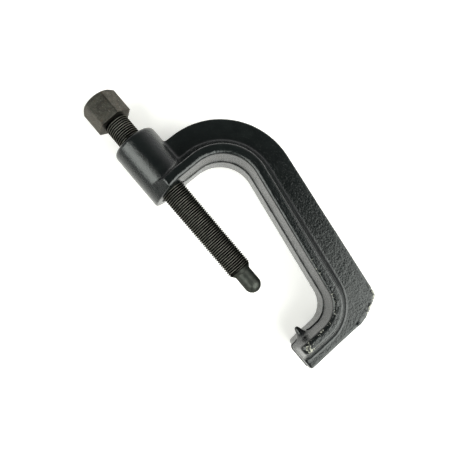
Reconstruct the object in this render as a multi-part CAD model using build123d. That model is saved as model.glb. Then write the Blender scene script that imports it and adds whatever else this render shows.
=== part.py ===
from build123d import *
import math
import os

# A forged C-frame press: a heavy forcing screw runs through a threaded boss at one end of a C-shaped
# forging and pushes towards a pointed jaw at the other end.
# All lengths are in millimetres. The model is drawn with the screw's axis on x = 0, z = 0, its head
# towards +Y, and the forging's parting plane at z = 0. It is then moved so that its origin is the
# middle of its bounding box's bottom face, which is where it lies on a bench.

# --- forcing screw: M22 x 2 right-hand thread, 30 mm hexagon ---------------------------------------
THREAD_R = 11.0          # major radius
HEAD_AF = 30.0           # hexagon across flats
HEAD_TOP_Y = 158.2
HEAD_H = 24.0
HEAD_CHAMFER = 2.3       # how far the top's 30 degree chamfer cuts in at a corner
HEAD_TURN = -9.5         # how far the upper flat leans at rest, degrees
NECK_R = 9.9             # thread run-out groove under the head
NECK_L = 0.8
THREAD_END_Y = -31.8
CONE_END_Y = -36.5
NOSE_R = 7.5
NOSE_TIP_Y = -56.8
SPIGOT_R = 4.5           # the nose's stem inside the screw's end
SPIGOT_L = 12.0
RUN_CLEAR = 0.05         # radial running clearance of the screw in its bore and of the nose's stem
END_CLEAR = 0.1          # axial clearance behind the nose

# --- C-frame: seen from above -----------------------------------------------------------------------
ARCH_C = (29.2, 25.2)    # centre of the arch
ARCH_INNER_R = 30.7      # inner parting line
ARCH_OUTER_R = 67.3
BEND_C = (19.6, -89.2)   # centre of the lower bend
BEND_INNER_R = 21.0
LEG_OUTER_END = (75.8, -118.0)
CORNER = [(74.2, -124.0), (72.2, -126.1), (56.0, -133.4), (50.5, -134.7)]   # where leg and jaw meet
JAW_END_X = -9.7
JAW_BOTTOM_Y = -135.1    # under the jaw's tip
JAW_CORNER_R = 2.5

# --- C-frame: section across the leg, w = distance out from the inner parting line --------------------
WEB_HALF = 8.0           # half thickness of the outer web
RIB_HALF = 26.0          # half height of the inner rib
RIB_IN_W = 0.8           # inner edge of the rib's flat top
RIB_OUT_W = 9.3          # outer edge of the rib's flat top
RIB_FOOT_W = 17.0        # foot of the rib's outer slope
RIB_OVERLAP_W = 21.0     # how far the swept section reaches into the web
WEB_START_W = 6.0        # where the web plate starts, inside the rib
RIB_TOP_FILLET = 1.6
RIB_FOOT_FILLET = 2.5
WEB_EDGE_FILLET = 2.0
JAW_END_SET_BACK = 4.0   # the jaw's end leans back this much from parting line to rib top

# --- boss around the screw ---------------------------------------------------------------------------
BOSS_X = 1.0
BOSS_R = 20.6
BOSS_TOP_Y = 111.0
BOSS_BOTTOM_Y = ARCH_C[1] + ARCH_INNER_R
BOSS_TOP_FILLET = 3.5
BORE_MOUTH = 1.2         # countersink at each mouth
RIB_SLOPE_TOP_X = -2.0   # the rib's flat top ends here, and a flat slope runs down onto the boss

# --- nub on the jaw ----------------------------------------------------------------------------------
NUB_X = 4.4
NUB_BASE_R = 5.0
NUB_TIP_R = 2.2
NUB_TIP_FILLET = 1.7
NUB_H = 9.2

# --- joins and cutters -------------------------------------------------------------------------------
SLOPE_SINK = 0.3         # how far the slope's end dips into the boss, so that they join cleanly
NUB_BURIED = 2.0         # how far the nub's cone starts below the jaw's face
CUT_PAST = 5.0           # how far a cutter reaches past what it cuts
CUT_THROUGH = 40.0       # depth of a cutter that runs right through the rib
RIM_MARGIN = 1.0         # how near to the arch's and leg's outline an edge of the web's rim lies
JAW_RIM_Y = -126.0       # edges of the web below this run under the jaw

LEFT_X = BOSS_X - BOSS_R
RIGHT_X = ARCH_C[0] + ARCH_OUTER_R
TO_ORIGIN = Location((
    -(LEFT_X + RIGHT_X) / 2,
    -(HEAD_TOP_Y + JAW_BOTTOM_Y) / 2,
    RIB_HALF,
))


def leg_angle():
    """How far the leg leans in towards the screw, from the tangent common to arch and bend."""
    dx = ARCH_C[0] - BEND_C[0]
    dy = ARCH_C[1] - BEND_C[1]
    return math.asin((ARCH_INNER_R - BEND_INNER_R) / math.hypot(dx, dy)) + math.atan2(dx, dy)


LEAN = leg_angle()
OUT = (math.cos(LEAN), -math.sin(LEAN))      # outward normal of the leg


def beside(centre, distance):
    """The point of a circle round centre where the leg's line touches it."""
    return (centre[0] + distance * OUT[0], centre[1] + distance * OUT[1])


def at_angle(centre, radius, angle):
    return (centre[0] + radius * math.cos(angle), centre[1] + radius * math.sin(angle))


def inner_line(start_x, end_x, w=0.0):
    """The line at w from the inner parting line: boss, round the arch, down the leg, along the jaw."""
    arch_r = ARCH_INNER_R + w
    bend_r = BEND_INNER_R + w
    arch_top = at_angle(ARCH_C, arch_r, math.pi / 2)
    bend_bottom = at_angle(BEND_C, bend_r, -math.pi / 2)
    mid_arch = at_angle(ARCH_C, arch_r, (math.pi / 2 - LEAN) / 2)
    mid_bend = at_angle(BEND_C, bend_r, (-math.pi / 2 - LEAN) / 2)
    arch_end = beside(ARCH_C, arch_r)
    bend_start = beside(BEND_C, bend_r)
    return [
        Line((start_x, arch_top[1]), arch_top),
        ThreePointArc(arch_top, mid_arch, arch_end),
        Line(arch_end, bend_start),
        ThreePointArc(bend_start, mid_bend, bend_bottom),
        Line(bend_bottom, (end_x, bend_bottom[1])),
    ]


def web_plate():
    """The outer web: a plate from inside the rib to the forging's outline."""
    arch_top = at_angle(ARCH_C, ARCH_OUTER_R, math.pi / 2)
    arch_mid = at_angle(ARCH_C, ARCH_OUTER_R, (math.pi / 2 - LEAN) / 2)
    arch_end = beside(ARCH_C, ARCH_OUTER_R)
    inside = inner_line(BOSS_X, JAW_END_X, WEB_START_W)
    jaw_inner = inside[-1] @ 1
    rim = [
        Polyline(
            (jaw_inner.X, jaw_inner.Y),
            (JAW_END_X, JAW_BOTTOM_Y),
            *reversed(CORNER),
            LEG_OUTER_END,
            arch_end,
        ),
        ThreePointArc(arch_end, arch_mid, arch_top),
        Polyline(arch_top, (BOSS_X, arch_top[1]), (BOSS_X, BOSS_BOTTOM_Y + WEB_START_W)),
    ]
    face = make_face([*inside, *rim])
    tip_corner = face.vertices().sort_by_distance((JAW_END_X, JAW_BOTTOM_Y))[0]
    face = fillet(tip_corner, JAW_CORNER_R)
    plate = extrude(face, WEB_HALF, both=True)
    rim_edges = plate.edges().filter_by(
        lambda e: abs(abs(e.center().Z) - WEB_HALF) < 0.01 and on_rim(e)
    )
    return fillet(rim_edges, WEB_EDGE_FILLET)


def on_rim(edge):
    """Whether an edge lies on the web's outer side, away from the throat, the boss and the jaw's end."""
    middle = edge.position_at(0.5)
    out = (middle.X - ARCH_C[0]) * OUT[0] + (middle.Y - ARCH_C[1]) * OUT[1]
    from_arch = math.dist((middle.X, middle.Y), ARCH_C)
    near = ARCH_OUTER_R - RIM_MARGIN
    on_leg = middle.Y < ARCH_C[1] and out > near
    on_arch = middle.Y > ARCH_C[1] and from_arch > near and middle.X > BOSS_X + RIM_MARGIN
    under_jaw = middle.Y < JAW_RIM_Y
    return on_leg or on_arch or under_jaw


def rib_section():
    """Half outlines of the rib, mirrored about the parting plane, in (w, z)."""
    upper = [
        (RIB_IN_W, RIB_HALF),
        (RIB_OUT_W, RIB_HALF),
        (RIB_FOOT_W, WEB_HALF),
        (RIB_OVERLAP_W, WEB_HALF),
    ]
    lower = [(w, -z) for w, z in reversed(upper)]
    section = make_face(Polyline((0, 0), *upper, *lower, close=True))
    tops = section.vertices().filter_by(lambda v: abs(abs(v.Y) - RIB_HALF) < 0.01)
    section = fillet(tops, RIB_TOP_FILLET)
    feet = section.vertices().filter_by(lambda v: abs(v.X - RIB_FOOT_W) < 0.01)
    return fillet(feet, RIB_FOOT_FILLET)


def slope_end():
    """Where the slope at the rib's boss end runs into the boss, touching its round surface, in (x, z)."""
    top = (RIB_SLOPE_TOP_X - BOSS_X, RIB_HALF)
    angle = math.atan2(top[1], top[0]) + math.acos(BOSS_R / math.hypot(*top))
    return at_angle((BOSS_X, 0), BOSS_R, angle)


def rib():
    """The tall inner rib, swept along the inner parting line and trimmed at both ends."""
    path = Wire(inner_line(slope_end()[0] + SLOPE_SINK, JAW_END_X - CUT_PAST))
    start = path @ 0
    plane = Plane(origin=start, x_dir=(0, 1, 0), z_dir=(1, 0, 0))
    body = sweep(plane * rib_section(), path=path)
    return body - boss_end_wedges()


def boss_end_wedges():
    """What is taken off the rib where its flat top slopes down onto the boss."""
    end_x, end_z = slope_end()
    profile = Polyline(
        (RIB_SLOPE_TOP_X, RIB_HALF),
        (end_x, end_z - SLOPE_SINK),
        (LEFT_X - CUT_PAST, end_z - SLOPE_SINK),
        (LEFT_X - CUT_PAST, RIB_HALF + CUT_PAST),
        (RIB_SLOPE_TOP_X, RIB_HALF + CUT_PAST),
        close=True,
    )
    side = Plane(origin=(0, BOSS_BOTTOM_Y - CUT_PAST, 0), x_dir=(1, 0, 0), z_dir=(0, -1, 0))
    upper = extrude(side * make_face(profile), -CUT_THROUGH)
    return upper + mirror(upper, Plane.XY)


def jaw_end_wedges():
    """What is taken off the jaw's tip so that it leans back from the parting line."""
    deep = RIB_HALF + CUT_PAST
    set_back = JAW_END_SET_BACK * deep / RIB_HALF
    profile = Polyline(
        (JAW_END_X, 0),
        (JAW_END_X + set_back, deep),
        (JAW_END_X - 2 * CUT_PAST, deep),
        (JAW_END_X - 2 * CUT_PAST, 0),
        close=True,
    )
    jaw_y = BEND_C[1] - BEND_INNER_R
    side = Plane(origin=(0, jaw_y + CUT_PAST, 0), x_dir=(1, 0, 0), z_dir=(0, -1, 0))
    upper = extrude(side * make_face(profile), CUT_THROUGH)
    return upper + mirror(upper, Plane.XY)


def boss():
    """The round boss that holds the screw's thread."""
    length = BOSS_TOP_Y - BOSS_BOTTOM_Y
    middle = (BOSS_X, (BOSS_TOP_Y + BOSS_BOTTOM_Y) / 2, 0)
    body = Pos(*middle) * Rot(-90, 0, 0) * Cylinder(BOSS_R, length)
    return fillet(body.edges().group_by(Axis.Y)[-1], BOSS_TOP_FILLET)


def bore():
    """The screw's bore with a countersunk mouth at each end."""
    length = BOSS_TOP_Y - BOSS_BOTTOM_Y
    middle = Pos(0, (BOSS_TOP_Y + BOSS_BOTTOM_Y) / 2, 0)
    radius = THREAD_R + RUN_CLEAR
    hole = middle * Rot(-90, 0, 0) * Cylinder(radius, length + 2 * CUT_PAST)
    for y, turn in ((BOSS_TOP_Y, -90), (BOSS_BOTTOM_Y, 90)):
        mouth = Cone(radius, radius + BORE_MOUTH, BORE_MOUTH, align=(Align.CENTER, Align.CENTER, Align.MAX))
        hole += Pos(0, y, 0) * Rot(turn, 0, 0) * mouth
    return hole


def nub():
    """The pointed nub on the jaw, which seats in a dimple of the work."""
    jaw_y = BEND_C[1] - BEND_INNER_R
    height = NUB_H + NUB_BURIED
    cone = Cone(NUB_BASE_R, NUB_TIP_R, height, align=(Align.CENTER, Align.CENTER, Align.MIN))
    cone = fillet(cone.edges().group_by(Axis.Z)[-1], NUB_TIP_FILLET)
    return Pos(NUB_X, jaw_y - NUB_BURIED, 0) * Rot(-90, 0, 0) * cone


def c_frame():
    body = web_plate() + rib() + boss()
    body -= jaw_end_wedges()
    body += nub()
    return body - bore()


def hex_head():
    """A hexagon head with a flat underside, and its corners taken off at 30 degrees at the top."""
    corner_r = HEAD_AF / math.sqrt(3)
    flat_down = RegularPolygon(HEAD_AF / 2, 6, major_radius=False)
    head = extrude(flat_down, HEAD_H)
    drop = HEAD_CHAMFER * math.tan(math.radians(30))
    outline = Polyline(
        (0, 0),
        (corner_r, 0),
        (corner_r, HEAD_H - drop),
        (corner_r - HEAD_CHAMFER, HEAD_H),
        (0, HEAD_H),
        close=True,
    )
    turned = revolve(Plane.XZ * make_face(outline), Axis.Z)
    return head & turned


def forcing_screw():
    """Head, run-out groove, thread at its major diameter and end cone, in one piece."""
    underside = HEAD_TOP_Y - HEAD_H
    head = Pos(0, underside, 0) * Rot(-90, 0, 0) * Rot(0, 0, HEAD_TURN) * hex_head()
    end_y = CONE_END_Y + END_CLEAR
    shank = Polyline(
        (0, underside),
        (NECK_R, underside),
        (NECK_R, underside - NECK_L),
        (THREAD_R, underside - NECK_L - (THREAD_R - NECK_R)),
        (THREAD_R, THREAD_END_Y),
        (NOSE_R, end_y),
        (SPIGOT_R + RUN_CLEAR, end_y),
        (SPIGOT_R + RUN_CLEAR, end_y + SPIGOT_L),
        (0, end_y + SPIGOT_L),
        close=True,
    )
    return head + revolve(make_face(shank), Axis.Y)


def nose():
    """The smooth round nose that meets the work, with its stem in the screw's end."""
    ball_y = NOSE_TIP_Y + NOSE_R
    stem_top = CONE_END_Y + SPIGOT_L
    half = [
        Line((0, stem_top), (SPIGOT_R, stem_top)),
        Line((SPIGOT_R, stem_top), (SPIGOT_R, CONE_END_Y)),
        Line((SPIGOT_R, CONE_END_Y), (NOSE_R, CONE_END_Y)),
        Line((NOSE_R, CONE_END_Y), (NOSE_R, ball_y)),
        CenterArc((0, ball_y), NOSE_R, 0, -90),
        Line((0, NOSE_TIP_Y), (0, stem_top)),
    ]
    return revolve(make_face(half), Axis.Y)


PARTS = {
    "c_frame": c_frame(),
    "forcing_screw": forcing_screw(),
    "screw_nose": nose(),
}

os.makedirs("parts", exist_ok=True)
for name, shape in PARTS.items():
    export_step(TO_ORIGIN * shape, f"parts/{name}.step")
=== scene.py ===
import math

import bmesh
import bpy
import numpy as np
from mathutils import Matrix, Vector


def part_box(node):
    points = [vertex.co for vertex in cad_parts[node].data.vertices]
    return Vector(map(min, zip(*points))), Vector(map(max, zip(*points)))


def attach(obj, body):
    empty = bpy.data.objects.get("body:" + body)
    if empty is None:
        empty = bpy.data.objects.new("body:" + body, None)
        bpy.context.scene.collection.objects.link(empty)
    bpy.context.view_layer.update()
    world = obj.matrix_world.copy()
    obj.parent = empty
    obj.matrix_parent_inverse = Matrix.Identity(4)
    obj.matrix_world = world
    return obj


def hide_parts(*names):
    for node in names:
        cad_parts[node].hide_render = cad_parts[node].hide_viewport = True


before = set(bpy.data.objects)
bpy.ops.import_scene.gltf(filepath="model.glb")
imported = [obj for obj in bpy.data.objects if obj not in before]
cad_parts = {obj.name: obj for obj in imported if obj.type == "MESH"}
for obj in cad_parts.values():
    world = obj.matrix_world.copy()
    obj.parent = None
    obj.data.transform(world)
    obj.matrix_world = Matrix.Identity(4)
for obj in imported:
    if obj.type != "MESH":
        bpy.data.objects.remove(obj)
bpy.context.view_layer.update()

# The visual model of a forged C-frame press: a forging with soft fillets, flash line and rough enamel,
# a forcing screw with a real helical thread, and a smooth nose.
# Shapes are worked out in millimetres in the tool's own axes: the screw's axis is x = 0, z = 0, its head
# towards +y, and the forging's parting plane is z = 0. tool_to_frame moves them to the frame's metres.

MM = 0.001
FAR = 1000.0             # a distance that stands for "not here", mm

# --- C-frame, seen from above -------------------------------------------------------------------------
ARCH_C = (29.2, 25.2)
ARCH_INNER_R = 30.7
ARCH_OUTER_R = 67.3
BEND_C = (19.6, -89.2)
BEND_INNER_R = 21.0
JAW_FACE_Y = BEND_C[1] - BEND_INNER_R
JAW_END_X = -9.7
JAW_BOTTOM_Y = -135.1
OUTLINE = [(75.8, -118.0), (74.2, -124.0), (72.2, -126.1), (56.0, -133.4), (50.5, -134.7),
           (JAW_END_X, JAW_BOTTOM_Y)]
OUTLINE_ROUND = 1.0      # how far the rounding of its corners reaches

# --- C-frame, section across the leg: w is the distance out from the inner parting line -----------------
WEB_HALF = 8.0
RIB_HALF = 26.0
WALL_FOOT_W = 0.0        # the inner wall at the parting plane
WALL_HEAD_W = 0.7        # and where it meets the rib's flat top
RIB_OUT_W = 9.3          # the flat top's outer edge
RIB_FOOT_W = 17.0        # where the rib's outer side would meet the web's face
OUTER_ROUND = 1.6
FOOT_BLEND = 1.8
RIM_ROUND = 1.8
RIM_DRAFT = math.tan(math.radians(2.0))
RIM_FULL_Z = 0.7 * WEB_HALF      # the height at which the drafted rim lies on the outline

# --- bevels worn on the rib, each given by how far down it reaches ----------------------------------------
BEVEL_SLOPE = 0.8        # rise over run, so nearer flat than 45 degrees
INNER_BEVEL_BOSS = 0.6   # along the inner edge, where the rib leaves the boss
INNER_BEVEL_ARCH = 1.6   # the same on the arch
INNER_BEVEL_LEG = 1.4    # and on the leg below y = 0
INNER_BEVEL_JAW = 1.7    # and on the jaw
INNER_ROUND = 0.9        # how far the rounding of the bevel's edges reaches
JAW_BEVEL_Y = (-95.0, -115.0)    # where the leg's bevel grows into the jaw's
JAW_END_SET_BACK = 3.2   # how far the jaw's end leans back at the rib's top
JAW_END_ROUND = 2.0
RIB_END_BEVEL = 3.0
RIB_END_ROUND = 0.8

# --- boss ----------------------------------------------------------------------------------------------
BOSS_X = 1.0             # its middle is a little off the screw's axis
BOSS_R = 20.6
BOSS_TOP_Y = 111.0
BOSS_BOTTOM_Y = ARCH_C[1] + ARCH_INNER_R
BOSS_TOP_ROUND = 4.5
BOSS_BLEND = 3.0         # between boss and rib, where the rib has its full height
BOSS_BLEND_LEAST = 0.1   # the share of it that is left beside the slope
BOSS_DROP = 1.6          # how much lower the boss's bottom is on the side away from the throat
BOSS_DROP_X = (8.0, -14.0)       # where the drop grows from nothing to all of it
BORE_R = 11.3
MOUTH = 1.5              # the countersinks at both ends of the bore
RIB_SLOPE_TOP_X = -2.0   # where the rib's flat top ends and its slope down onto the boss begins
RIB_SLOPE_ROUND = 0.5
RIB_FULL_X = RIB_SLOPE_TOP_X + 8.0   # where the boss's blend and the inner bevel have their full size

# --- nub -----------------------------------------------------------------------------------------------
NUB_X = 4.4
NUB_BASE_R = 4.7
NUB_TIP_R = 2.3
NUB_H = 9.2
NUB_SUNK = 1.0           # how far its base ball's centre lies below the jaw's face
NUB_BLEND = 5.0

# --- flash lines ---------------------------------------------------------------------------------------
FLASH_BURIED = 1.2       # how deep their hidden side lies in the forging
JAW_CORNER_R = 1.5       # how tightly the line turns down the jaw's end

# --- rough skin: each layer of noise is its depth, its feature size and its seed -------------------------
SKIN = [(0.10, 17.0, 1), (0.02, 5.0, 2), (0.03, 2.2, 3)]
LEG_SKIN = [(0.03, 1.9, 6)]
INNER_EDGE_DENTS = [(0.13, 2.0, 7)]
CORNER_DENTS = [(0.38, 3.2, 8), (0.22, 1.6, 9)]
CORNER_SWELL = 0.1
SKIN_SINK = 0.12         # how far the middle of the rough skin lies inside the smooth shape
BORE_MARGIN = 0.3        # points this near the bore or the boss's bottom count as machined
BOTTOM_MARGIN = 0.2
LEG_SKIN_Y = (-10.0, -90.0)      # where the leg's layer grows from nothing to its full depth
INNER_EDGE_Y = (-25.0, -65.0)    # the same for the inner edge's dents

# --- where dents, chips and painted glints are: each band is its lowest and highest value, and how far it fades beyond ---
INNER_EDGE_W = (0.5, 4.5, 1.0)
INNER_EDGE_Z = (RIB_HALF - 2.5, RIB_HALF + 1.0, 1.0)
DENTED_CORNER_X = (46.0, 80.0, 4.0)
DENTED_CORNER_Y = (-136.0, -116.0, 3.0)
DENTED_RIM = (-1.8, 2.0, 1.2)
CHIPPED_CORNER_X = (58.0, 80.0, 10.0)
CHIPPED_CORNER_Y = (-136.0, -118.0, 8.0)
CHIPPED_RIM = (-1.6, 2.0, 0.8)
CHIPPED_RIM_Z = (WEB_HALF - 1.6, WEB_HALF + 1.0, 1.2)
CHIP_GLINT_END_X = (-4.0, 0.0, 14.0)
CHIP_GLINT_END_W = (3.0, 9.0, 1.0)
CHIP_GLINT_TOP_Z = (RIB_HALF - 0.4, RIB_HALF + 1.0, 0.5)
CHIP_GLINT_END_BELOW_Y = -100.0
RIDGE_W = (1.6, 3.0, 0.8)
RIDGE_Z = (RIB_HALF - 1.5, RIB_HALF + 1.0, 0.8)
RIDGE_Y = (-115.0, -55.0, 15.0)
RIDGE_CHIPS_AND_GLINTS = 0.6         # how strongly the ridge is chipped and painted with glints, where the corner and the end are 1

# --- screw ---------------------------------------------------------------------------------------------
PITCH = 2.0
THREAD_R = 11.0
ROOT_R = 9.77
NECK_R = 9.8
NECK_L = 0.2
NECK_SUNK = 0.5          # how far the neck reaches into the head
CONE_L = 4.7
HEAD_AF = 30.0
HEAD_H = 24.0
HEAD_TURN = math.radians(-9.5)
HEAD_CHAMFER = math.radians(30)
HEAD_CHAMFER_R = 14.3

# --- nose ----------------------------------------------------------------------------------------------
NOSE_BASE_R = 4.0
NOSE_BASE_DEPTH = 3.0    # how deep its hidden base lies in the thread's end
SHOULDER_L = 1.6
SHOULDER_UNDER = 0.06    # how much smaller its radius is behind the shoulder than at the ball

# --- camera: places in the tool's axes -------------------------------------------------------------------
CAMERA_PLACE = (-33.0, -14.0, 394.0)
CAMERA_TARGET = (15.6, -1.7, 0.0)
CAMERA_UP = (0.649, 0.761, 0)
LENS = 35.95
SENSOR = 36.0


def node_box(node):
    """A CAD node's lowest and highest corners at rest, in mm."""
    return [Vector(corner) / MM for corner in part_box(node)]


nose_lo, nose_hi = node_box("screw_nose")
screw_lo, screw_hi = node_box("forcing_screw")
AXIS_X = (nose_lo.x + nose_hi.x) / 2
AXIS_Z = (nose_lo.z + nose_hi.z) / 2
ZERO_Y = node_box("c_frame")[0].y - JAW_BOTTOM_Y
NOSE_R = (nose_hi.x - nose_lo.x) / 2
NOSE_TIP_Y = nose_lo.y - ZERO_Y
THREAD_BOTTOM_Y = screw_lo.y - ZERO_Y
HEAD_TOP_Y = screw_hi.y - ZERO_Y
HEAD_UNDER_Y = HEAD_TOP_Y - HEAD_H


def tool_to_frame(points):
    """Points in mm in the tool's own axes, as metres in the frame."""
    return (np.asarray(points, float) + (AXIS_X, ZERO_Y, AXIS_Z)) * MM


# === shape fields: distances in mm, negative inside the steel ==============================================

def smooth_min(a, b, k):
    """The smaller of two fields, blended where they differ by less than k."""
    h = np.maximum(k - np.abs(a - b), 0.0) / k
    return np.minimum(a, b) - h * h * k / 4


def smooth_max(a, b, k):
    """The larger of two fields, blended where they differ by less than k."""
    return -smooth_min(-a, -b, k)


def bevelled(top, wall, depth, k):
    """Where a top meets a wall: the corner is taken off by a bevel, whose edges are rounded."""
    cut = (top + BEVEL_SLOPE * wall + depth) / math.hypot(1, BEVEL_SLOPE)
    return smooth_max(smooth_max(top, cut, k), wall, k)


def progress(value, start, end):
    """How far a value has gone from start to end, from 0 to 1."""
    return np.clip((value - start) / (end - start), 0, 1)


def leg_angle():
    """The leg's lean from the y axis: its inner edge touches the arch's and the bend's inner arcs."""
    dx, dy = ARCH_C[0] - BEND_C[0], ARCH_C[1] - BEND_C[1]
    return math.asin((ARCH_INNER_R - BEND_INNER_R) / math.hypot(dx, dy)) + math.atan2(dx, dy)


LEAN = leg_angle()
OUT = (math.cos(LEAN), -math.sin(LEAN))
DOWN = (-math.sin(LEAN), -math.cos(LEAN))


def along(x, y, centre, direction):
    """How far a place lies from a centre in a direction."""
    return (x - centre[0]) * direction[0] + (y - centre[1]) * direction[1]


def leg_point(centre, radius):
    """Where a circle of the arch or the bend runs into the leg."""
    return (centre[0] + radius * OUT[0], centre[1] + radius * OUT[1])


def in_arch(x, y):
    """Whether a place is past the arch's top and not yet down to the leg."""
    return (x > ARCH_C[0]) & (along(x, y, ARCH_C, DOWN) < 0)


def from_inner_line(x, y):
    """Distance out from the inner parting line; negative inside the throat."""
    arch = np.hypot(x - ARCH_C[0], y - ARCH_C[1]) - ARCH_INNER_R
    bend = np.hypot(x - BEND_C[0], y - BEND_C[1]) - BEND_INNER_R
    leg = along(x, y, ARCH_C, OUT) - ARCH_INNER_R
    above = y - BOSS_BOTTOM_Y + BOSS_DROP * progress(x, *BOSS_DROP_X)
    below = JAW_FACE_Y - y
    in_bend = (x > BEND_C[0]) & (along(x, y, BEND_C, DOWN) > 0)
    middle_y = (ARCH_C[1] + BEND_C[1]) / 2
    on_top = (x <= ARCH_C[0]) & (y > middle_y) & ~in_bend
    at_foot = (x <= BEND_C[0]) & (y <= middle_y)
    return np.select([in_arch(x, y), in_bend, on_top, at_foot], [arch, bend, above, below], leg)


def from_outline(x, y):
    """Distance out from the web's outer outline, with its corners rounded."""
    points = [leg_point(ARCH_C, ARCH_OUTER_R), *OUTLINE]
    distance = None
    for (ax, ay), (bx, by) in zip(points[:-1], points[1:]):
        length = math.hypot(bx - ax, by - ay)
        normal = ((by - ay) / -length, (bx - ax) / length)
        side = along(x, y, (ax, ay), normal)
        distance = side if distance is None else smooth_max(distance, side, OUTLINE_ROUND)
    arch = np.hypot(x - ARCH_C[0], y - ARCH_C[1]) - ARCH_OUTER_R
    top = y - ARCH_C[1] - ARCH_OUTER_R
    return np.where(in_arch(x, y), arch, np.maximum(distance, top))


def round_cone(radius, height, base_r, tip_r, length):
    """Distance from a cone with a ball at each end."""
    b = (base_r - tip_r) / length
    a = math.sqrt(1 - b * b)
    k = a * height - b * radius
    side = a * radius + b * height - base_r
    base = np.hypot(radius, height) - base_r
    tip = np.hypot(radius, height - length) - tip_r
    return np.where(k < 0, base, np.where(k > a * length, tip, side))


def slope_plane():
    """The slope that takes the rib's flat top down onto the boss: its normal and offset in (x, z)."""
    dx, dz = RIB_SLOPE_TOP_X - BOSS_X, RIB_HALF
    touch = math.atan2(dz, dx) + math.acos(BOSS_R / math.hypot(dx, dz))
    normal = (math.cos(touch), math.sin(touch))
    return normal, BOSS_X * normal[0] + BOSS_R


def inner_wall(z, w):
    """The drafted inner wall of the forging."""
    draft = (WALL_HEAD_W - WALL_FOOT_W) / RIB_HALF
    return WALL_FOOT_W + draft * z - w


def inner_bevel(x, y):
    """How deep the worn bevel along the inner edge is."""
    from_boss = progress(x, RIB_SLOPE_TOP_X, RIB_FULL_X)
    onto_jaw = progress(y, *JAW_BEVEL_Y)
    above = INNER_BEVEL_BOSS + (INNER_BEVEL_ARCH - INNER_BEVEL_BOSS) * from_boss
    below = INNER_BEVEL_LEG + (INNER_BEVEL_JAW - INNER_BEVEL_LEG) * onto_jaw
    return np.where(y > 0, above, below)


def jaw_end(x, z):
    """The jaw's end face, which leans back towards its top."""
    return JAW_END_X + JAW_END_SET_BACK * z / RIB_HALF - x


def rib(x, y, z, w):
    """The rib, with its slope onto the boss and its bevelled end on the jaw."""
    run, rise = RIB_HALF - WEB_HALF, RIB_FOOT_W - RIB_OUT_W
    outer_side = ((w - RIB_OUT_W) * run + (z - RIB_HALF) * rise) / math.hypot(run, rise)
    section = smooth_max(z - RIB_HALF, outer_side, OUTER_ROUND)
    normal, offset = slope_plane()
    boss_slope = x * normal[0] + z * normal[1] - offset
    at_boss = smooth_max(section, boss_slope, RIB_SLOPE_ROUND)
    at_jaw = bevelled(section, jaw_end(x, z), RIB_END_BEVEL, RIB_END_ROUND)
    return np.where(y > 0, at_boss, at_jaw)


def web(x, y, z):
    """The web plate, out to its drafted rim."""
    rim = from_outline(x, y) + RIM_DRAFT * (z - RIM_FULL_Z)
    return smooth_max(z - WEB_HALF, rim, RIM_ROUND)


def rib_and_web(x, y, z, w):
    """The T section without its inner wall, ended inside the boss and at the jaw's end."""
    section = smooth_min(rib(x, y, z, w), web(x, y, z), FOOT_BLEND)
    normal, _ = slope_plane()
    past_boss = z * normal[0] - (x - BOSS_X) * normal[1]
    at_boss = np.maximum(section, past_boss)
    at_jaw = smooth_max(section, jaw_end(x, z), JAW_END_ROUND)
    return np.where(y > 0, at_boss, at_jaw)


def boss(x, y, z):
    """The boss without its bore."""
    cylinder = smooth_max(np.hypot(x - BOSS_X, z) - BOSS_R, y - BOSS_TOP_Y, BOSS_TOP_ROUND)
    return np.where(y > 0, cylinder, FAR)


def bore(x, y, z):
    """The bore and its countersunk mouths."""
    at_top = np.clip(MOUTH - (BOSS_TOP_Y - y), 0, MOUTH)
    at_bottom = np.clip(MOUTH - (y - BOSS_BOTTOM_Y), 0, MOUTH)
    return np.where(y > 0, np.hypot(x, z) - BORE_R - (at_top + at_bottom), FAR)


def nub(x, y, z):
    """The pointed nub on the jaw."""
    height = y - JAW_FACE_Y + NUB_SUNK
    length = NUB_H - NUB_TIP_R + NUB_SUNK
    return round_cone(np.hypot(x - NUB_X, z), height, NUB_BASE_R, NUB_TIP_R, length)


def forging(x, y, z):
    """The C-frame's whole shape, the same on both sides of its parting plane."""
    z = np.abs(z)
    w = from_inner_line(x, y)
    past_slope = progress(x, RIB_SLOPE_TOP_X, RIB_FULL_X)
    boss_blend = BOSS_BLEND * np.maximum(past_slope, BOSS_BLEND_LEAST)
    body = smooth_min(rib_and_web(x, y, z, w), boss(x, y, z), boss_blend)
    body = bevelled(body, inner_wall(z, w), inner_bevel(x, y), INNER_ROUND)
    body = smooth_min(body, nub(x, y, z), NUB_BLEND)
    return np.maximum(body, -bore(x, y, z))


# === polygons from a field =================================================================================

def surface_net(field, axes):
    """Quads on the zero surface of a field sampled on a grid, one vertex to each cell that it crosses."""
    inside = field < 0
    count = sum(inside[i:i - 1 or None, j:j - 1 or None, k:k - 1 or None].astype(np.int8)
                for i in (0, 1) for j in (0, 1) for k in (0, 1))
    active = (count > 0) & (count < 8)
    cells = np.argwhere(active)
    number = np.full(active.shape, -1, np.int64)
    number[active] = np.arange(len(cells))
    corners = np.array([(i, j, k) for i in (0, 1) for j in (0, 1) for k in (0, 1)])
    at = cells[:, None, :] + corners[None]
    values = field[at[..., 0], at[..., 1], at[..., 2]]
    places = np.stack([axes[n][at[..., n]] for n in range(3)], -1)
    total = np.zeros((len(cells), 3))
    crossings = np.zeros(len(cells))
    for a in range(8):
        for b in range(a + 1, 8):
            if np.abs(corners[a] - corners[b]).sum() != 1:
                continue
            cross = (values[:, a] < 0) != (values[:, b] < 0)
            share = np.where(cross, values[:, a] / np.where(cross, values[:, a] - values[:, b], 1), 0)
            total += cross[:, None] * (places[:, a] + share[:, None] * (places[:, b] - places[:, a]))
            crossings += cross
    return total / crossings[:, None], net_quads(inside, number)


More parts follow.
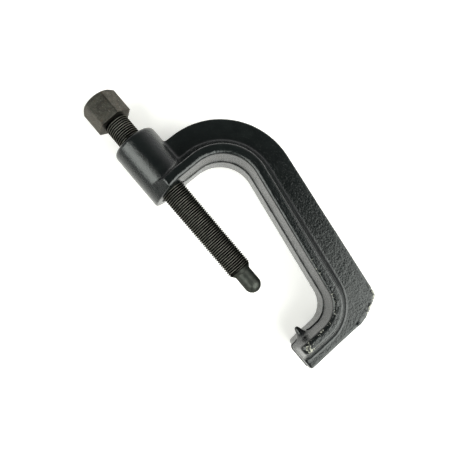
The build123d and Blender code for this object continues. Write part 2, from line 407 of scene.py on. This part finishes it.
def net_quads(inside, number):
    """A quad round each grid edge that crosses the surface, facing out of the solid."""
    quads = []
    for axis in range(3):
        first, second = (axis + 1) % 3, (axis + 2) % 3
        low = [slice(1, -1)] * 3
        high = list(low)
        low[axis], high[axis] = slice(None, -1), slice(1, None)
        a, b = inside[tuple(low)], inside[tuple(high)]
        at = np.argwhere(a != b)
        outward = a[tuple(at.T)]
        ring = []
        for step_one, step_two in ((0, 0), (1, 0), (1, 1), (0, 1)):
            cell = at.copy()
            cell[:, first] += step_one
            cell[:, second] += step_two
            ring.append(number[tuple(cell.T)])
        ring = np.stack(ring, -1)
        ring[~outward] = ring[~outward][:, ::-1]
        quads.append(ring)
    return np.concatenate(quads)


def gradient(shape, points, step=0.05):
    """A shape's slope at points, by central differences."""
    parts = []
    for axis in range(3):
        shift = np.zeros(3)
        shift[axis] = step
        ahead, behind = points + shift, points - shift
        parts.append((shape(*ahead.T) - shape(*behind.T)) / (2 * step))
    return np.stack(parts, -1)


def settle(shape, points, rounds, most):
    """Moves points onto the zero surface of a shape, by no more than most in a round."""
    least_slope_squared = 0.05
    for _ in range(rounds):
        slope = gradient(shape, points)
        size = np.maximum((slope ** 2).sum(-1, keepdims=True), least_slope_squared)
        move = -shape(*points.T)[:, None] * slope / size
        length = np.linalg.norm(move, axis=1, keepdims=True)
        points = points + move * np.minimum(1, most / np.maximum(length, 1e-9))
    return points


def relax(points, quads, share):
    """Moves each point part of the way to the middle of its neighbours."""
    total = np.zeros_like(points)
    count = np.zeros(len(points))
    for a, b in ((0, 1), (1, 2), (2, 3), (3, 0)):
        for i, j in ((a, b), (b, a)):
            for axis in range(3):
                total[:, axis] += np.bincount(quads[:, i], points[quads[:, j], axis], len(points))
            count += np.bincount(quads[:, i], minlength=len(points))
    return points + share * (total / np.maximum(count, 1)[:, None] - points)


def lattice_noise(points, size, seed):
    """Smooth noise between -1 and 1, with features of about the given size, from hashed lattice points."""
    place = np.asarray(points, float) / size
    low = np.floor(place).astype(np.int64)
    part = place - low
    part = part * part * (3 - 2 * part)
    value = np.zeros(len(place))
    for corner in range(8):
        step = np.array([(corner >> n) & 1 for n in range(3)])
        at = low + step
        mixed = at[:, 0] * 73856093 ^ at[:, 1] * 19349663 ^ at[:, 2] * 83492791 ^ seed * 2654435761
        mixed = (mixed ^ (mixed >> 13)) * 1274126177 & 0xFFFFFFFF
        mixed = (mixed ^ (mixed >> 16)) * 2246822519 & 0xFFFFFFFF
        weight = np.where(step, part, 1 - part).prod(-1)
        value += weight * (mixed / 2.0 ** 31 - 1)
    return value


def layered_noise(points, layers):
    """The sum of layers of noise, each given as its depth, its feature size and its seed."""
    return sum(depth * lattice_noise(points, size, seed) for depth, size, seed in layers)


# === meshes ================================================================================================

def make_object(name, points, faces):
    """A shaded object from points in the tool's axes."""
    mesh = bpy.data.meshes.new(name)
    mesh.from_pydata(tool_to_frame(points).tolist(), [], [tuple(f) for f in faces])
    mesh.validate()
    mesh.update()
    mesh.polygons.foreach_set("use_smooth", np.ones(len(mesh.polygons), bool))
    obj = bpy.data.objects.new(name, mesh)
    bpy.context.scene.collection.objects.link(obj)
    return obj


def tube_faces(rings, count):
    """Quads between neighbouring rings of count points each."""
    faces = []
    for i in range(rings - 1):
        for j in range(count):
            a, b = i * count + j, i * count + (j + 1) % count
            faces.append((a, b, b + count, a + count))
    return faces


def lathe(name, rows, columns):
    """A closed turned shape. rows are (y, r) pairs of numbers or of arrays with one value to each column."""
    angles = 2 * np.pi * np.arange(columns) / columns
    points = []
    for y, r in rows:
        y = np.broadcast_to(y, columns)
        r = np.broadcast_to(r, columns)
        points.extend(zip(r * np.cos(angles), y, r * np.sin(angles)))
    faces = tube_faces(len(rows), columns)
    first, last = len(points), len(points) + 1
    points.append((0, float(np.mean(rows[0][0])), 0))
    points.append((0, float(np.mean(rows[-1][0])), 0))
    tail = (len(rows) - 1) * columns
    for j in range(columns):
        faces.append((first, (j + 1) % columns, j))
        faces.append((last, tail + j, tail + (j + 1) % columns))
    return make_object(name, points, faces)


def face_outward(obj, merge=0.002, fill_holes=False):
    """Merges points closer than merge, in mm, closes open ends if asked, and turns all faces outward."""
    work = bmesh.new()
    work.from_mesh(obj.data)
    bmesh.ops.remove_doubles(work, verts=work.verts, dist=merge * MM)
    if fill_holes:
        bmesh.ops.dissolve_degenerate(work, edges=work.edges, dist=0.002 * MM)
        bmesh.ops.holes_fill(work, edges=[e for e in work.edges if e.is_boundary], sides=0)
    bmesh.ops.recalc_face_normals(work, faces=work.faces)
    work.to_mesh(obj.data)
    work.free()
    obj.data.update()


def round_edges(obj, width, segments, angle):
    """Rounds the edges sharper than angle, in degrees, and keeps the result in the mesh."""
    modifier = obj.modifiers.new("round_edges", "BEVEL")
    modifier.width = width * MM
    modifier.segments = segments
    modifier.limit_method = "ANGLE"
    modifier.angle_limit = math.radians(angle)
    modifier.harden_normals = False
    graph = bpy.context.evaluated_depsgraph_get()
    mesh = bpy.data.meshes.new_from_object(obj.evaluated_get(graph))
    obj.modifiers.clear()
    obj.data = mesh


def smooth_by_angle(obj, angle):
    """Shades smooth, but keeps edges sharper than angle, in degrees."""
    obj.data.polygons.foreach_set("use_smooth", np.ones(len(obj.data.polygons), bool))
    obj.data.set_sharp_from_angle(angle=math.radians(angle))


# === the forging ===========================================================================================

def within(value, low, high, fade):
    """1 between low and high, falling to 0 over fade on each side."""
    return np.clip((value - low) / fade + 1, 0, 1) * np.clip((high - value) / fade + 1, 0, 1)


def forging_roughness(points):
    """How far the rough skin stands out from the smooth shape, in mm; none where it is machined."""
    x, y, z = points.T
    in_bore = np.hypot(x, z) < BORE_R + MOUTH + BORE_MARGIN
    on_bottom = np.abs(y - BOSS_BOTTOM_Y) < BOTTOM_MARGIN
    machined = (y > 0) & (in_bore | on_bottom)
    inner_edge = within(from_inner_line(x, y), *INNER_EDGE_W) * within(np.abs(z), *INNER_EDGE_Z)
    corner = (within(from_outline(x, y), *DENTED_RIM) * within(y, *DENTED_CORNER_Y)
              * within(x, *DENTED_CORNER_X))
    skin = layered_noise(points, SKIN)
    skin += progress(y, *LEG_SKIN_Y) * layered_noise(points, LEG_SKIN)
    skin += inner_edge * progress(y, *INNER_EDGE_Y) * layered_noise(points, INNER_EDGE_DENTS)
    skin += corner * (layered_noise(points, CORNER_DENTS) + CORNER_SWELL)
    return np.where(machined, 0.0, skin - SKIN_SINK)


def chips_and_painted_glints(points):
    """Where the enamel is painted pale, from 0 to 1: chips on the lower corner's rim, and chips with painted
    glints on the rib's end and the inner ridge.
    """
    x, y, z = points.T
    height = np.abs(z)
    w = from_inner_line(x, y)
    # The pale flecks on the rib's end and on the ridge are painted glints as well as chips.
    rib_end = within(x, *CHIP_GLINT_END_X) * within(w, *CHIP_GLINT_END_W) * within(height, *CHIP_GLINT_TOP_Z)
    rib_end = rib_end * (y < CHIP_GLINT_END_BELOW_Y)
    corner = within(x, *CHIPPED_CORNER_X) * within(y, *CHIPPED_CORNER_Y)
    rim = within(from_outline(x, y), *CHIPPED_RIM) * within(height, *CHIPPED_RIM_Z)
    ridge = within(w, *RIDGE_W) * within(height, *RIDGE_Z) * within(y, *RIDGE_Y)
    return np.maximum.reduce([rib_end, corner * rim, RIDGE_CHIPS_AND_GLINTS * ridge])


def build_forging():
    """The forging's smooth shape as a mesh, its points moved out and in by the rough skin."""
    step = 0.75
    pad = 2.0
    low = np.array([BOSS_X - BOSS_R, JAW_BOTTOM_Y, -RIB_HALF]) - pad
    high = np.array([ARCH_C[0] + ARCH_OUTER_R, BOSS_TOP_Y, RIB_HALF]) + pad
    axes = [np.arange(low[n], high[n] + step, step) for n in range(3)]
    field = forging(*np.ix_(*axes)).astype(np.float32)
    points, quads = surface_net(field, axes)
    for _ in range(3):
        points = relax(points, quads, 0.5)
        points = settle(forging, points, rounds=2, most=step / 2)
    slope = gradient(forging, points)
    normals = slope / np.maximum(np.linalg.norm(slope, axis=1, keepdims=True), 1e-6)
    chips_and_glints = chips_and_painted_glints(points)
    points = points + normals * forging_roughness(points)[:, None]
    forged = make_object("forging", points, quads)
    # The chips and painted glints are kept on the mesh's points for the enamel.
    layer = forged.data.attributes.new("chips_and_glints", "FLOAT", "POINT")
    layer.data.foreach_set("value", chips_and_glints.astype(np.float32))
    return forged


def arc(centre, radius, start, end, count):
    """Points on an arc between two angles."""
    angles = np.linspace(start, end, count)
    return [(centre[0] + radius * math.cos(a), centre[1] + radius * math.sin(a)) for a in angles]


def straight(start, end, count):
    """Points on a straight line, its ends among them."""
    return [tuple(p) for p in np.linspace(start, end, count)]


def parting_line():
    """The parting line on the inside of the C, from the boss to the nub."""
    leg_top, leg_foot = leg_point(ARCH_C, ARCH_INNER_R), leg_point(BEND_C, BEND_INNER_R)
    return (straight((THREAD_R - 2, BOSS_BOTTOM_Y), (ARCH_C[0], BOSS_BOTTOM_Y), 9)[:-1]
            + arc(ARCH_C, ARCH_INNER_R, math.pi / 2, -LEAN, 46)
            + straight(leg_top, leg_foot, 60)[1:-1]
            + arc(BEND_C, BEND_INNER_R, -LEAN, -math.pi / 2, 26)
            + straight((BEND_C[0], JAW_FACE_Y), (NUB_X + NUB_BASE_R, JAW_FACE_Y), 9)[1:])


def parting_line_at_jaw_end():
    """The parting line past the nub, round the jaw's corner and down its end."""
    corner = (JAW_END_X + JAW_CORNER_R, JAW_FACE_Y - JAW_CORNER_R)
    return (straight((NUB_X - NUB_BASE_R - 0.5, JAW_FACE_Y), (corner[0] + 1, JAW_FACE_Y), 6)
            + arc(corner, JAW_CORNER_R, math.pi / 2, math.pi, 6)
            + straight((JAW_END_X, corner[1] - 1), (JAW_END_X, JAW_BOTTOM_Y + 3), 14))


def build_flash_line(name, line, size):
    """The thin trimmed flash that stands proud of the wall along the parting plane."""
    path = settle(forging, np.column_stack([line, np.zeros(len(line))]), rounds=8, most=0.5)
    outward = gradient(forging, path)
    outward /= np.linalg.norm(outward, axis=1, keepdims=True)
    proud = size * (0.65 + layered_noise(path, [(0.14, 9, 11), (0.10, 3, 12)]))
    half_width = size * (0.62 + layered_noise(path, [(0.12, 7, 13)]))
    drift = layered_noise(path, [(0.15, 12, 14)])
    # The section's points: the share of proud that each stands out, and the share of half_width to its side.
    visible = [(0.0, -1.0), (1.0, -0.75), (1.0, 0.75), (0.0, 1.0)]
    points = []
    for place, out, p, h, d in zip(path, outward, proud, half_width, drift):
        ring = [(-FLASH_BURIED, -h), *((p * share, h * side) for share, side in visible), (-FLASH_BURIED, h)]
        points.extend(place + out * height + (0, 0, side + d) for height, side in ring)
    count = len(visible) + 2
    faces = tube_faces(len(path), count)
    faces.append(tuple(range(count))[::-1])
    faces.append(tuple(range(len(points) - count, len(points))))
    flash = make_object(name, points, faces)
    face_outward(flash)
    return flash


# === the screw =============================================================================================

def build_head():
    """The hexagon with a 30 degree chamfer at its top and a flat underside."""
    columns = 96
    ring_r, wide_ring_r = 4.0, 9.0
    angles = 2 * np.pi * np.arange(columns) / columns
    hexagon = HEAD_AF / 2 / np.cos(np.mod(angles, np.pi / 3) - np.pi / 6)
    top, under = HEAD_TOP_Y, HEAD_UNDER_Y
    shoulder = top - (hexagon - HEAD_CHAMFER_R) * math.tan(HEAD_CHAMFER)
    rows = [(top, r) for r in (ring_r, wide_ring_r, HEAD_CHAMFER_R - 1.5, HEAD_CHAMFER_R)]
    for share in (0.0, 0.04, 0.3, 0.5, 0.7, 0.96, 1.0):
        rows.append((shoulder + share * (under - shoulder), hexagon))
    rows += [(under, r) for r in (HEAD_CHAMFER_R, THREAD_R + 1, NECK_R - 1)]
    head = lathe("screw_head", rows, columns)
    turn = Matrix.Rotation(HEAD_TURN, 4, "Y")
    centre = Matrix.Translation(Vector(tool_to_frame((0, 0, 0))))
    head.data.transform(centre @ turn @ centre.inverted())
    face_outward(head)
    round_edges(head, width=0.5, segments=3, angle=22)
    smooth_by_angle(head, 30)
    return head


def build_thread():
    """The neck and the right-hand thread, with rows that follow its helix, on its end cone too."""
    columns = 64
    # One pitch of the thread: how far down the axis each row lies, and its radius.
    profile = [(0.0, THREAD_R - 0.24), (0.09, THREAD_R - 0.12), (0.22, THREAD_R - 0.03), (0.33, THREAD_R),
               (0.44, THREAD_R - 0.03), (0.57, THREAD_R - 0.12), (0.66, THREAD_R - 0.24),
               (1.04, ROOT_R + 0.1), (1.12, ROOT_R), (1.50, ROOT_R), (1.58, ROOT_R + 0.1)]
    start = HEAD_UNDER_Y + NECK_SUNK
    neck_end = HEAD_UNDER_Y - NECK_L
    end = THREAD_BOTTOM_Y
    turns = int((start - end) / PITCH) + 3
    points = []
    for i in range(columns + 1):
        angle = 2 * math.pi * i / columns
        for turn in range(-1, turns):
            for offset, radius in profile:
                y = start - turn * PITCH - offset - PITCH * i / columns
                neck = NECK_R + max(neck_end - y, 0)
                cone = NOSE_R + max(y - end, 0) * (THREAD_R - NOSE_R) / CONE_L
                r = min(radius, neck, cone)
                points.append((r * math.cos(angle), min(max(y, end), start), r * math.sin(angle)))
    rows = (turns + 1) * len(profile)
    faces = []
    for i in range(columns):
        for j in range(rows - 1):
            a = i * rows + j
            faces.append((a, a + 1, a + 1 + rows, a + rows))
    thread = make_object("screw_thread", points, faces)
    face_outward(thread, merge=0.004, fill_holes=True)
    smooth_by_angle(thread, 40)
    return thread


def build_nose():
    """The smooth nose: a short shoulder, a straight barrel and a ball end with a tiny flat at its tip."""
    end = THREAD_BOTTOM_Y
    shoulder = end - SHOULDER_L
    ball = NOSE_TIP_Y + NOSE_R
    rows = [(end + NOSE_BASE_DEPTH, NOSE_BASE_R), (end + NOSE_BASE_DEPTH, NOSE_R - 0.5),
            (end + 0.6, NOSE_R - 0.2), (end, NOSE_R + 0.02), (end - 0.8, NOSE_R - 0.05),
            (shoulder, NOSE_R - SHOULDER_UNDER)]
    for share in np.linspace(0.15, 1, 8):
        rows.append((shoulder + share * (ball - shoulder), NOSE_R - SHOULDER_UNDER * (1 - share)))
    for angle in np.linspace(0, math.pi / 2, 18)[1:-1]:
        rows.append((ball - NOSE_R * math.sin(angle), NOSE_R * math.cos(angle)))
    nose = lathe("nose", rows, 72)
    face_outward(nose)
    smooth_by_angle(nose, 50)
    return nose


# === shader nodes ==========================================================================================

def new_material(name):
    """A material, its node tree, its shader and the output that gives an object's own coordinates."""
    material = bpy.data.materials.new(name)
    material.use_nodes = True
    tree = material.node_tree
    place = tree.nodes.new("ShaderNodeTexCoord").outputs["Object"]
    return material, tree, tree.nodes["Principled BSDF"], place


def split_axes(tree, vector):
    """A vector's X, Y and Z."""
    node = tree.nodes.new("ShaderNodeSeparateXYZ")
    tree.links.new(vector, node.inputs[0])
    return node.outputs["X"], node.outputs["Y"], node.outputs["Z"]


def noise(tree, vector, size_mm, detail, roughness):
    """A noise texture with features of about size_mm."""
    node = tree.nodes.new("ShaderNodeTexNoise")
    node.inputs["Scale"].default_value = 1 / (size_mm * MM)
    node.inputs["Detail"].default_value = detail
    node.inputs["Roughness"].default_value = roughness
    tree.links.new(vector, node.inputs["Vector"])
    return node.outputs["Fac"]


def ramp(tree, value, low, high, to_low=0.0, to_high=1.0):
    """A smooth step from to_low, where the value is low, to to_high, where it is high."""
    node = tree.nodes.new("ShaderNodeMapRange")
    node.interpolation_type = "SMOOTHSTEP"
    for name, number in (("From Min", low), ("From Max", high), ("To Min", to_low), ("To Max", to_high)):
        node.inputs[name].default_value = number
    tree.links.new(value, node.inputs["Value"])
    return node.outputs["Result"]


def mottle(tree, place, grain, cut, to=(0.0, 1.0)):
    """Noise of a grain (size in mm, detail, roughness), taken from the range cut to the range to."""
    return ramp(tree, noise(tree, place, *grain), *cut, *to)


def blend_colours(tree, share, first, second):
    """A mix of two colours, each given as a tuple or as a node's output."""
    node = tree.nodes.new("ShaderNodeMix")
    node.data_type = "RGBA"
    for socket, colour in ((node.inputs[6], first), (node.inputs[7], second)):
        if isinstance(colour, tuple):
            socket.default_value = (*colour, 1)
        else:
            tree.links.new(colour, socket)
    tree.links.new(share, node.inputs[0])
    return node.outputs[2]


def calculate(tree, operation, a, b=0.0):
    """A math node on two values, each a number or a node's output."""
    node = tree.nodes.new("ShaderNodeMath")
    node.operation = operation
    for socket, value in zip(node.inputs, (a, b)):
        if isinstance(value, (int, float)):
            socket.default_value = value
        else:
            tree.links.new(value, socket)
    return node.outputs[0]


def add_bump(tree, shader, height, strength, distance_mm):
    """Makes a shader's surface seem raised where height is large."""
    node = tree.nodes.new("ShaderNodeBump")
    node.inputs["Strength"].default_value = strength
    node.inputs["Distance"].default_value = distance_mm * MM
    tree.links.new(height, node.inputs["Height"])
    tree.links.new(node.outputs["Normal"], shader.inputs["Normal"])


def finish_metal(tree, shader, colour, roughness, metallic, edge_tint, specular):
    """Links a metal's colour and roughness. edge_tint darkens it where it is seen edge on."""
    tree.links.new(colour, shader.inputs["Base Color"])
    tree.links.new(roughness, shader.inputs["Roughness"])
    shader.inputs["Metallic"].default_value = metallic
    shader.inputs["Specular Tint"].default_value = (*edge_tint, 1)
    shader.inputs["Specular IOR Level"].default_value = specular


# === materials =============================================================================================

def enamel_material():
    """Semi-gloss blue-black enamel over a rough forging, painted pale where the mesh marks it: chipped to
    primer, and painted glints as well on the rib's end and ridge.
    """
    material, tree, shader, place = new_material("black_enamel")
    deep, pale, primer_and_glint = (0.0046, 0.0062, 0.0062), (0.0075, 0.0095, 0.0093), (0.42, 0.41, 0.34)
    chip_and_glint_share, primer_roughness, chip_depth = 0.30, 0.4, 0.5
    tone = mottle(tree, place, grain=(9, 4, 0.6), cut=(0.35, 0.7))
    paint = blend_colours(tree, tone, deep, pale)
    chips_and_glints = tree.nodes.new("ShaderNodeAttribute")
    chips_and_glints.attribute_name = "chips_and_glints"
    peel = noise(tree, place, size_mm=1.5, detail=3, roughness=0.65)
    flakes_and_glints = calculate(tree, "ADD", peel, calculate(tree, "MULTIPLY", chips_and_glints.outputs["Fac"], chip_and_glint_share))
    # Pale flecks: chipped primer, and on the rib's end and ridge painted glints as well.
    chipped_and_glinting = ramp(tree, flakes_and_glints, 0.78, 0.82)
    tree.links.new(blend_colours(tree, chipped_and_glinting, paint, primer_and_glint), shader.inputs["Base Color"])
    gloss = mottle(tree, place, grain=(3.5, 4, 0.65), cut=(0.3, 0.75), to=(0.10, 0.16))
    rough = calculate(tree, "ADD", gloss, calculate(tree, "MULTIPLY", chipped_and_glinting, primer_roughness))
    tree.links.new(rough, shader.inputs["Roughness"])
    shader.inputs["IOR"].default_value = 1.6
    height = calculate(tree, "SUBTRACT", peel, calculate(tree, "MULTIPLY", chipped_and_glinting, chip_depth))
    add_bump(tree, shader, height, strength=0.9, distance_mm=0.32)
    return material


def head_material():
    """Worn black oxide on the hexagon: matte brown-grey steel with small nicks."""
    material, tree, shader, place = new_material("worn_oxide_head")
    dark_oxide, light_oxide = (0.050, 0.046, 0.040), (0.094, 0.090, 0.077)
    rust_brown, bare_steel = (0.105, 0.078, 0.060), (0.24, 0.23, 0.20)
    tone = mottle(tree, place, grain=(4, 5, 0.7), cut=(0.34, 0.66))
    rust = mottle(tree, place, grain=(2.6, 4, 0.7), cut=(0.54, 0.66), to=(0.0, 0.6))
    nicks = mottle(tree, place, grain=(1.1, 4, 0.7), cut=(0.60, 0.68))
    colour = blend_colours(tree, tone, dark_oxide, light_oxide)
    colour = blend_colours(tree, rust, colour, rust_brown)
    colour = blend_colours(tree, nicks, colour, bare_steel)
    rough = mottle(tree, place, grain=(2.0, 3, 0.6), cut=(0.3, 0.8), to=(0.34, 0.46))
    finish_metal(tree, shader, colour, rough, metallic=0.95, edge_tint=(0.75, 0.74, 0.72), specular=0.5)
    add_bump(tree, shader, noise(tree, place, 1.3, 4, 0.7), strength=0.9, distance_mm=0.26)
    return material


def distance_from_axis(tree, place):
    """How far from the screw's axis a place is, in metres."""
    x, _, z = split_axes(tree, place)
    across = calculate(tree, "SUBTRACT", x, AXIS_X * MM)
    up = calculate(tree, "SUBTRACT", z, AXIS_Z * MM)
    across_squared = calculate(tree, "MULTIPLY", across, across)
    up_squared = calculate(tree, "MULTIPLY", up, up)
    return calculate(tree, "SQRT", calculate(tree, "ADD", across_squared, up_squared))


def thread_material():
    """Oiled black oxide on the rolled thread, near-black in its grooves as painted shade as well as oil,
    rubbed brighter along its crests and bare on its end cone.
    """
    material, tree, shader, place = new_material("oiled_oxide_thread")
    groove_oil_and_shade, rubbed_dark, rubbed_light = (0.010, 0.010, 0.009), (0.10, 0.098, 0.085), (0.20, 0.195, 0.17)
    bare_cone = (0.060, 0.063, 0.056)
    tone = mottle(tree, place, grain=(5, 4, 0.6), cut=(0.3, 0.75))
    rubbed = blend_colours(tree, tone, rubbed_dark, rubbed_light)
    flank_r, crest_r = THREAD_R - 0.45, THREAD_R - 0.1
    crest = ramp(tree, distance_from_axis(tree, place), flank_r * MM, crest_r * MM)
    # Painted shade: the grooves are darkened for the shade between the flanks, as well as for oil.
    colour = blend_colours(tree, crest, groove_oil_and_shade, rubbed)
    _, y, _ = split_axes(tree, place)
    cone_y = ZERO_Y + THREAD_BOTTOM_Y + CONE_L / 2
    threaded_y = cone_y + 1.2
    on_cone = ramp(tree, y, cone_y * MM, threaded_y * MM, 1.0, 0.0)
    colour = blend_colours(tree, on_cone, colour, bare_cone)
    rough = mottle(tree, place, grain=(1.5, 3, 0.6), cut=(0.3, 0.8), to=(0.32, 0.48))
    finish_metal(tree, shader, colour, rough, metallic=0.95, edge_tint=(0.18, 0.18, 0.17), specular=0.3)
    add_bump(tree, shader, noise(tree, place, 0.8, 3, 0.6), strength=0.2, distance_mm=0.06)
    return material


def nose_material():
    """Smooth dark hardened steel with faint turning lines."""
    material, tree, shader, place = new_material("nose_steel")
    dark_steel, light_steel = (0.052, 0.055, 0.049), (0.082, 0.085, 0.076)
    tone = mottle(tree, place, grain=(4, 4, 0.6), cut=(0.3, 0.75))
    colour = blend_colours(tree, tone, dark_steel, light_steel)
    rough = mottle(tree, place, grain=(2.0, 3, 0.6), cut=(0.3, 0.8), to=(0.40, 0.52))
    finish_metal(tree, shader, colour, rough, metallic=0.9, edge_tint=(0.25, 0.25, 0.24), specular=0.3)
    stretch = tree.nodes.new("ShaderNodeMapping")
    stretch.inputs["Scale"].default_value = (0.15, 1, 0.15)
    tree.links.new(place, stretch.inputs["Vector"])
    add_bump(tree, shader, noise(tree, stretch.outputs[0], 0.35, 2, 0.5), strength=0.12, distance_mm=0.05)
    return material


def floor_material():
    """A pale floor with painted light and shade: it glows, most under the throat and less to the left, and
    its colour is darkened to the left and far off as painted shade.

    Its ranges are in metres from the frame's origin.
    """
    material, tree, shader, place = new_material("pale_floor")
    pale, painted_shade_left, painted_shade_far = (0.88, 0.855, 0.84), (0.74, 0.719, 0.709), (0.30, 0.292, 0.287)
    length = tree.nodes.new("ShaderNodeVectorMath")
    length.operation = "LENGTH"
    tree.links.new(place, length.inputs[0])
    distance = length.outputs["Value"]
    x, _, _ = split_axes(tree, place)
    left_side = (-0.15, -0.07)
    # Painted shade: the floor's colour is darker to the left and far off.
    near = blend_colours(tree, ramp(tree, x, *left_side), painted_shade_left, pale)
    far = ramp(tree, distance, 0.22, 0.75)
    tree.links.new(blend_colours(tree, far, near, painted_shade_far), shader.inputs["Base Color"])
    shader.inputs["Roughness"].default_value = 0.9
    shader.inputs["Specular IOR Level"].default_value = 0.1
    shader.inputs["Emission Color"].default_value = (1, 1, 0.96, 1)
    # Painted light: the floor glows, most under the throat, to lift the tool's shadow there.
    under_throat = ramp(tree, distance, 0.05, 0.13, 0.62, 0.38)
    off_the_left = ramp(tree, x, *left_side, 0.45, 1.0)
    glow = calculate(tree, "MULTIPLY", under_throat, off_the_left)
    tree.links.new(glow, shader.inputs["Emission Strength"])
    return material


# === camera, floor and light ===============================================================================

def aim(obj, place, target, up):
    """Points an object's -Z at a target, with its +Y towards up."""
    ahead = (Vector(target) - Vector(place)).normalized()
    right = ahead.cross(Vector(up)).normalized()
    above = right.cross(ahead)
    turn = Matrix((right, above, -ahead)).transposed().to_4x4()
    obj.matrix_world = Matrix.Translation(Vector(place)) @ turn


def build_camera():
    """Above the throat, looking nearly straight down, with the screw's head at the upper left."""
    data = bpy.data.cameras.new("camera")
    data.sensor_width = SENSOR
    data.lens = LENS
    camera = bpy.data.objects.new("camera", data)
    bpy.context.scene.collection.objects.link(camera)
    bpy.context.scene.camera = camera
    aim(camera, tool_to_frame(CAMERA_PLACE), tool_to_frame(CAMERA_TARGET), CAMERA_UP)


def build_floor():
    """A flat square under the tool, out to 3 m on each side."""
    size = 3.0
    mesh = bpy.data.meshes.new("floor")
    corners = [(-size, -size, 0), (size, -size, 0), (size, size, 0), (-size, size, 0)]
    mesh.from_pydata(corners, [], [(0, 1, 2, 3)])
    floor = bpy.data.objects.new("floor", mesh)
    bpy.context.scene.collection.objects.link(floor)
    mesh.materials.append(floor_material())


def softbox(name, zenith, azimuth, distance, width, height, radiance):
    """A rectangular light that faces the tool. Azimuth is from +X towards +Y; both angles in degrees."""
    data = bpy.data.lights.new(name, "AREA")
    data.shape = "RECTANGLE"
    data.size = width
    data.size_y = height
    data.energy = radiance * math.pi * width * height
    data.color = (0.95, 1.0, 0.95)
    light = bpy.data.objects.new(name, data)
    bpy.context.scene.collection.objects.link(light)
    tilt, turn = math.radians(zenith), math.radians(azimuth)
    away = Vector((math.sin(tilt) * math.cos(turn), math.sin(tilt) * math.sin(turn), math.cos(tilt)))
    aim(light, away * distance, (0, 0, 0), (0, 0, 1))


def wall_light(tree, side, height, strength, least, fade):
    """Light from one side of the world. Between the two heights of fade it falls to nothing."""
    level = calculate(tree, "MAXIMUM", calculate(tree, "MULTIPLY", side, strength), least)
    return calculate(tree, "MULTIPLY", level, ramp(tree, height, *fade, 1.0, 0.0))


def build_light():
    """A softbox to the left and one in front, a dark ceiling, and a paler wall to the right and behind."""
    softbox("softbox_left", zenith=48.5, azimuth=163, distance=1.3, width=1.05, height=0.92, radiance=4.3)
    softbox("softbox_front", zenith=46, azimuth=-71, distance=1.3, width=1.8, height=1.15, radiance=4.4)
    world = bpy.data.worlds.new("studio")
    world.use_nodes = True
    bpy.context.scene.world = world
    tree = world.node_tree
    x, y, z = split_axes(tree, tree.nodes.new("ShaderNodeTexCoord").outputs["Generated"])
    right = wall_light(tree, x, z, strength=0.75, least=0.04, fade=(0.2, 0.97))
    behind = wall_light(tree, y, z, strength=1.3, least=0.0, fade=(0.02, 0.25))
    everywhere = 0.06
    level = calculate(tree, "ADD", calculate(tree, "ADD", right, behind), everywhere)
    tree.links.new(level, tree.nodes["Background"].inputs["Color"])
    bpy.context.scene.view_settings.view_transform = "Standard"
    bpy.context.scene.view_settings.look = "None"


# === the tool ==============================================================================================

def dress(obj, material, body, slot, *nodes):
    """Gives a piece its material, its body and the CAD nodes that it stands for. Its finish, slot, is not
    used.
    """
    obj.data.materials.clear()
    obj.data.materials.append(material)
    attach(obj, body)
    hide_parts(*nodes)


build_camera()
enamel = enamel_material()
dress(build_forging(), enamel, "frame", "enamelled_forging", "c_frame")
for flash_name, line, size in (("flash_line", parting_line(), 1.0),
                               ("flash_line_jaw_end", parting_line_at_jaw_end(), 0.5)):
    dress(build_flash_line(flash_name, line, size), enamel, "frame", "enamelled_forging", "c_frame")
dress(build_head(), head_material(), "screw", "oxide_steel", "forcing_screw")
dress(build_thread(), thread_material(), "screw", "oxide_steel", "forcing_screw")
dress(build_nose(), nose_material(), "nose", "nose_steel", "screw_nose")
build_floor()
build_light()
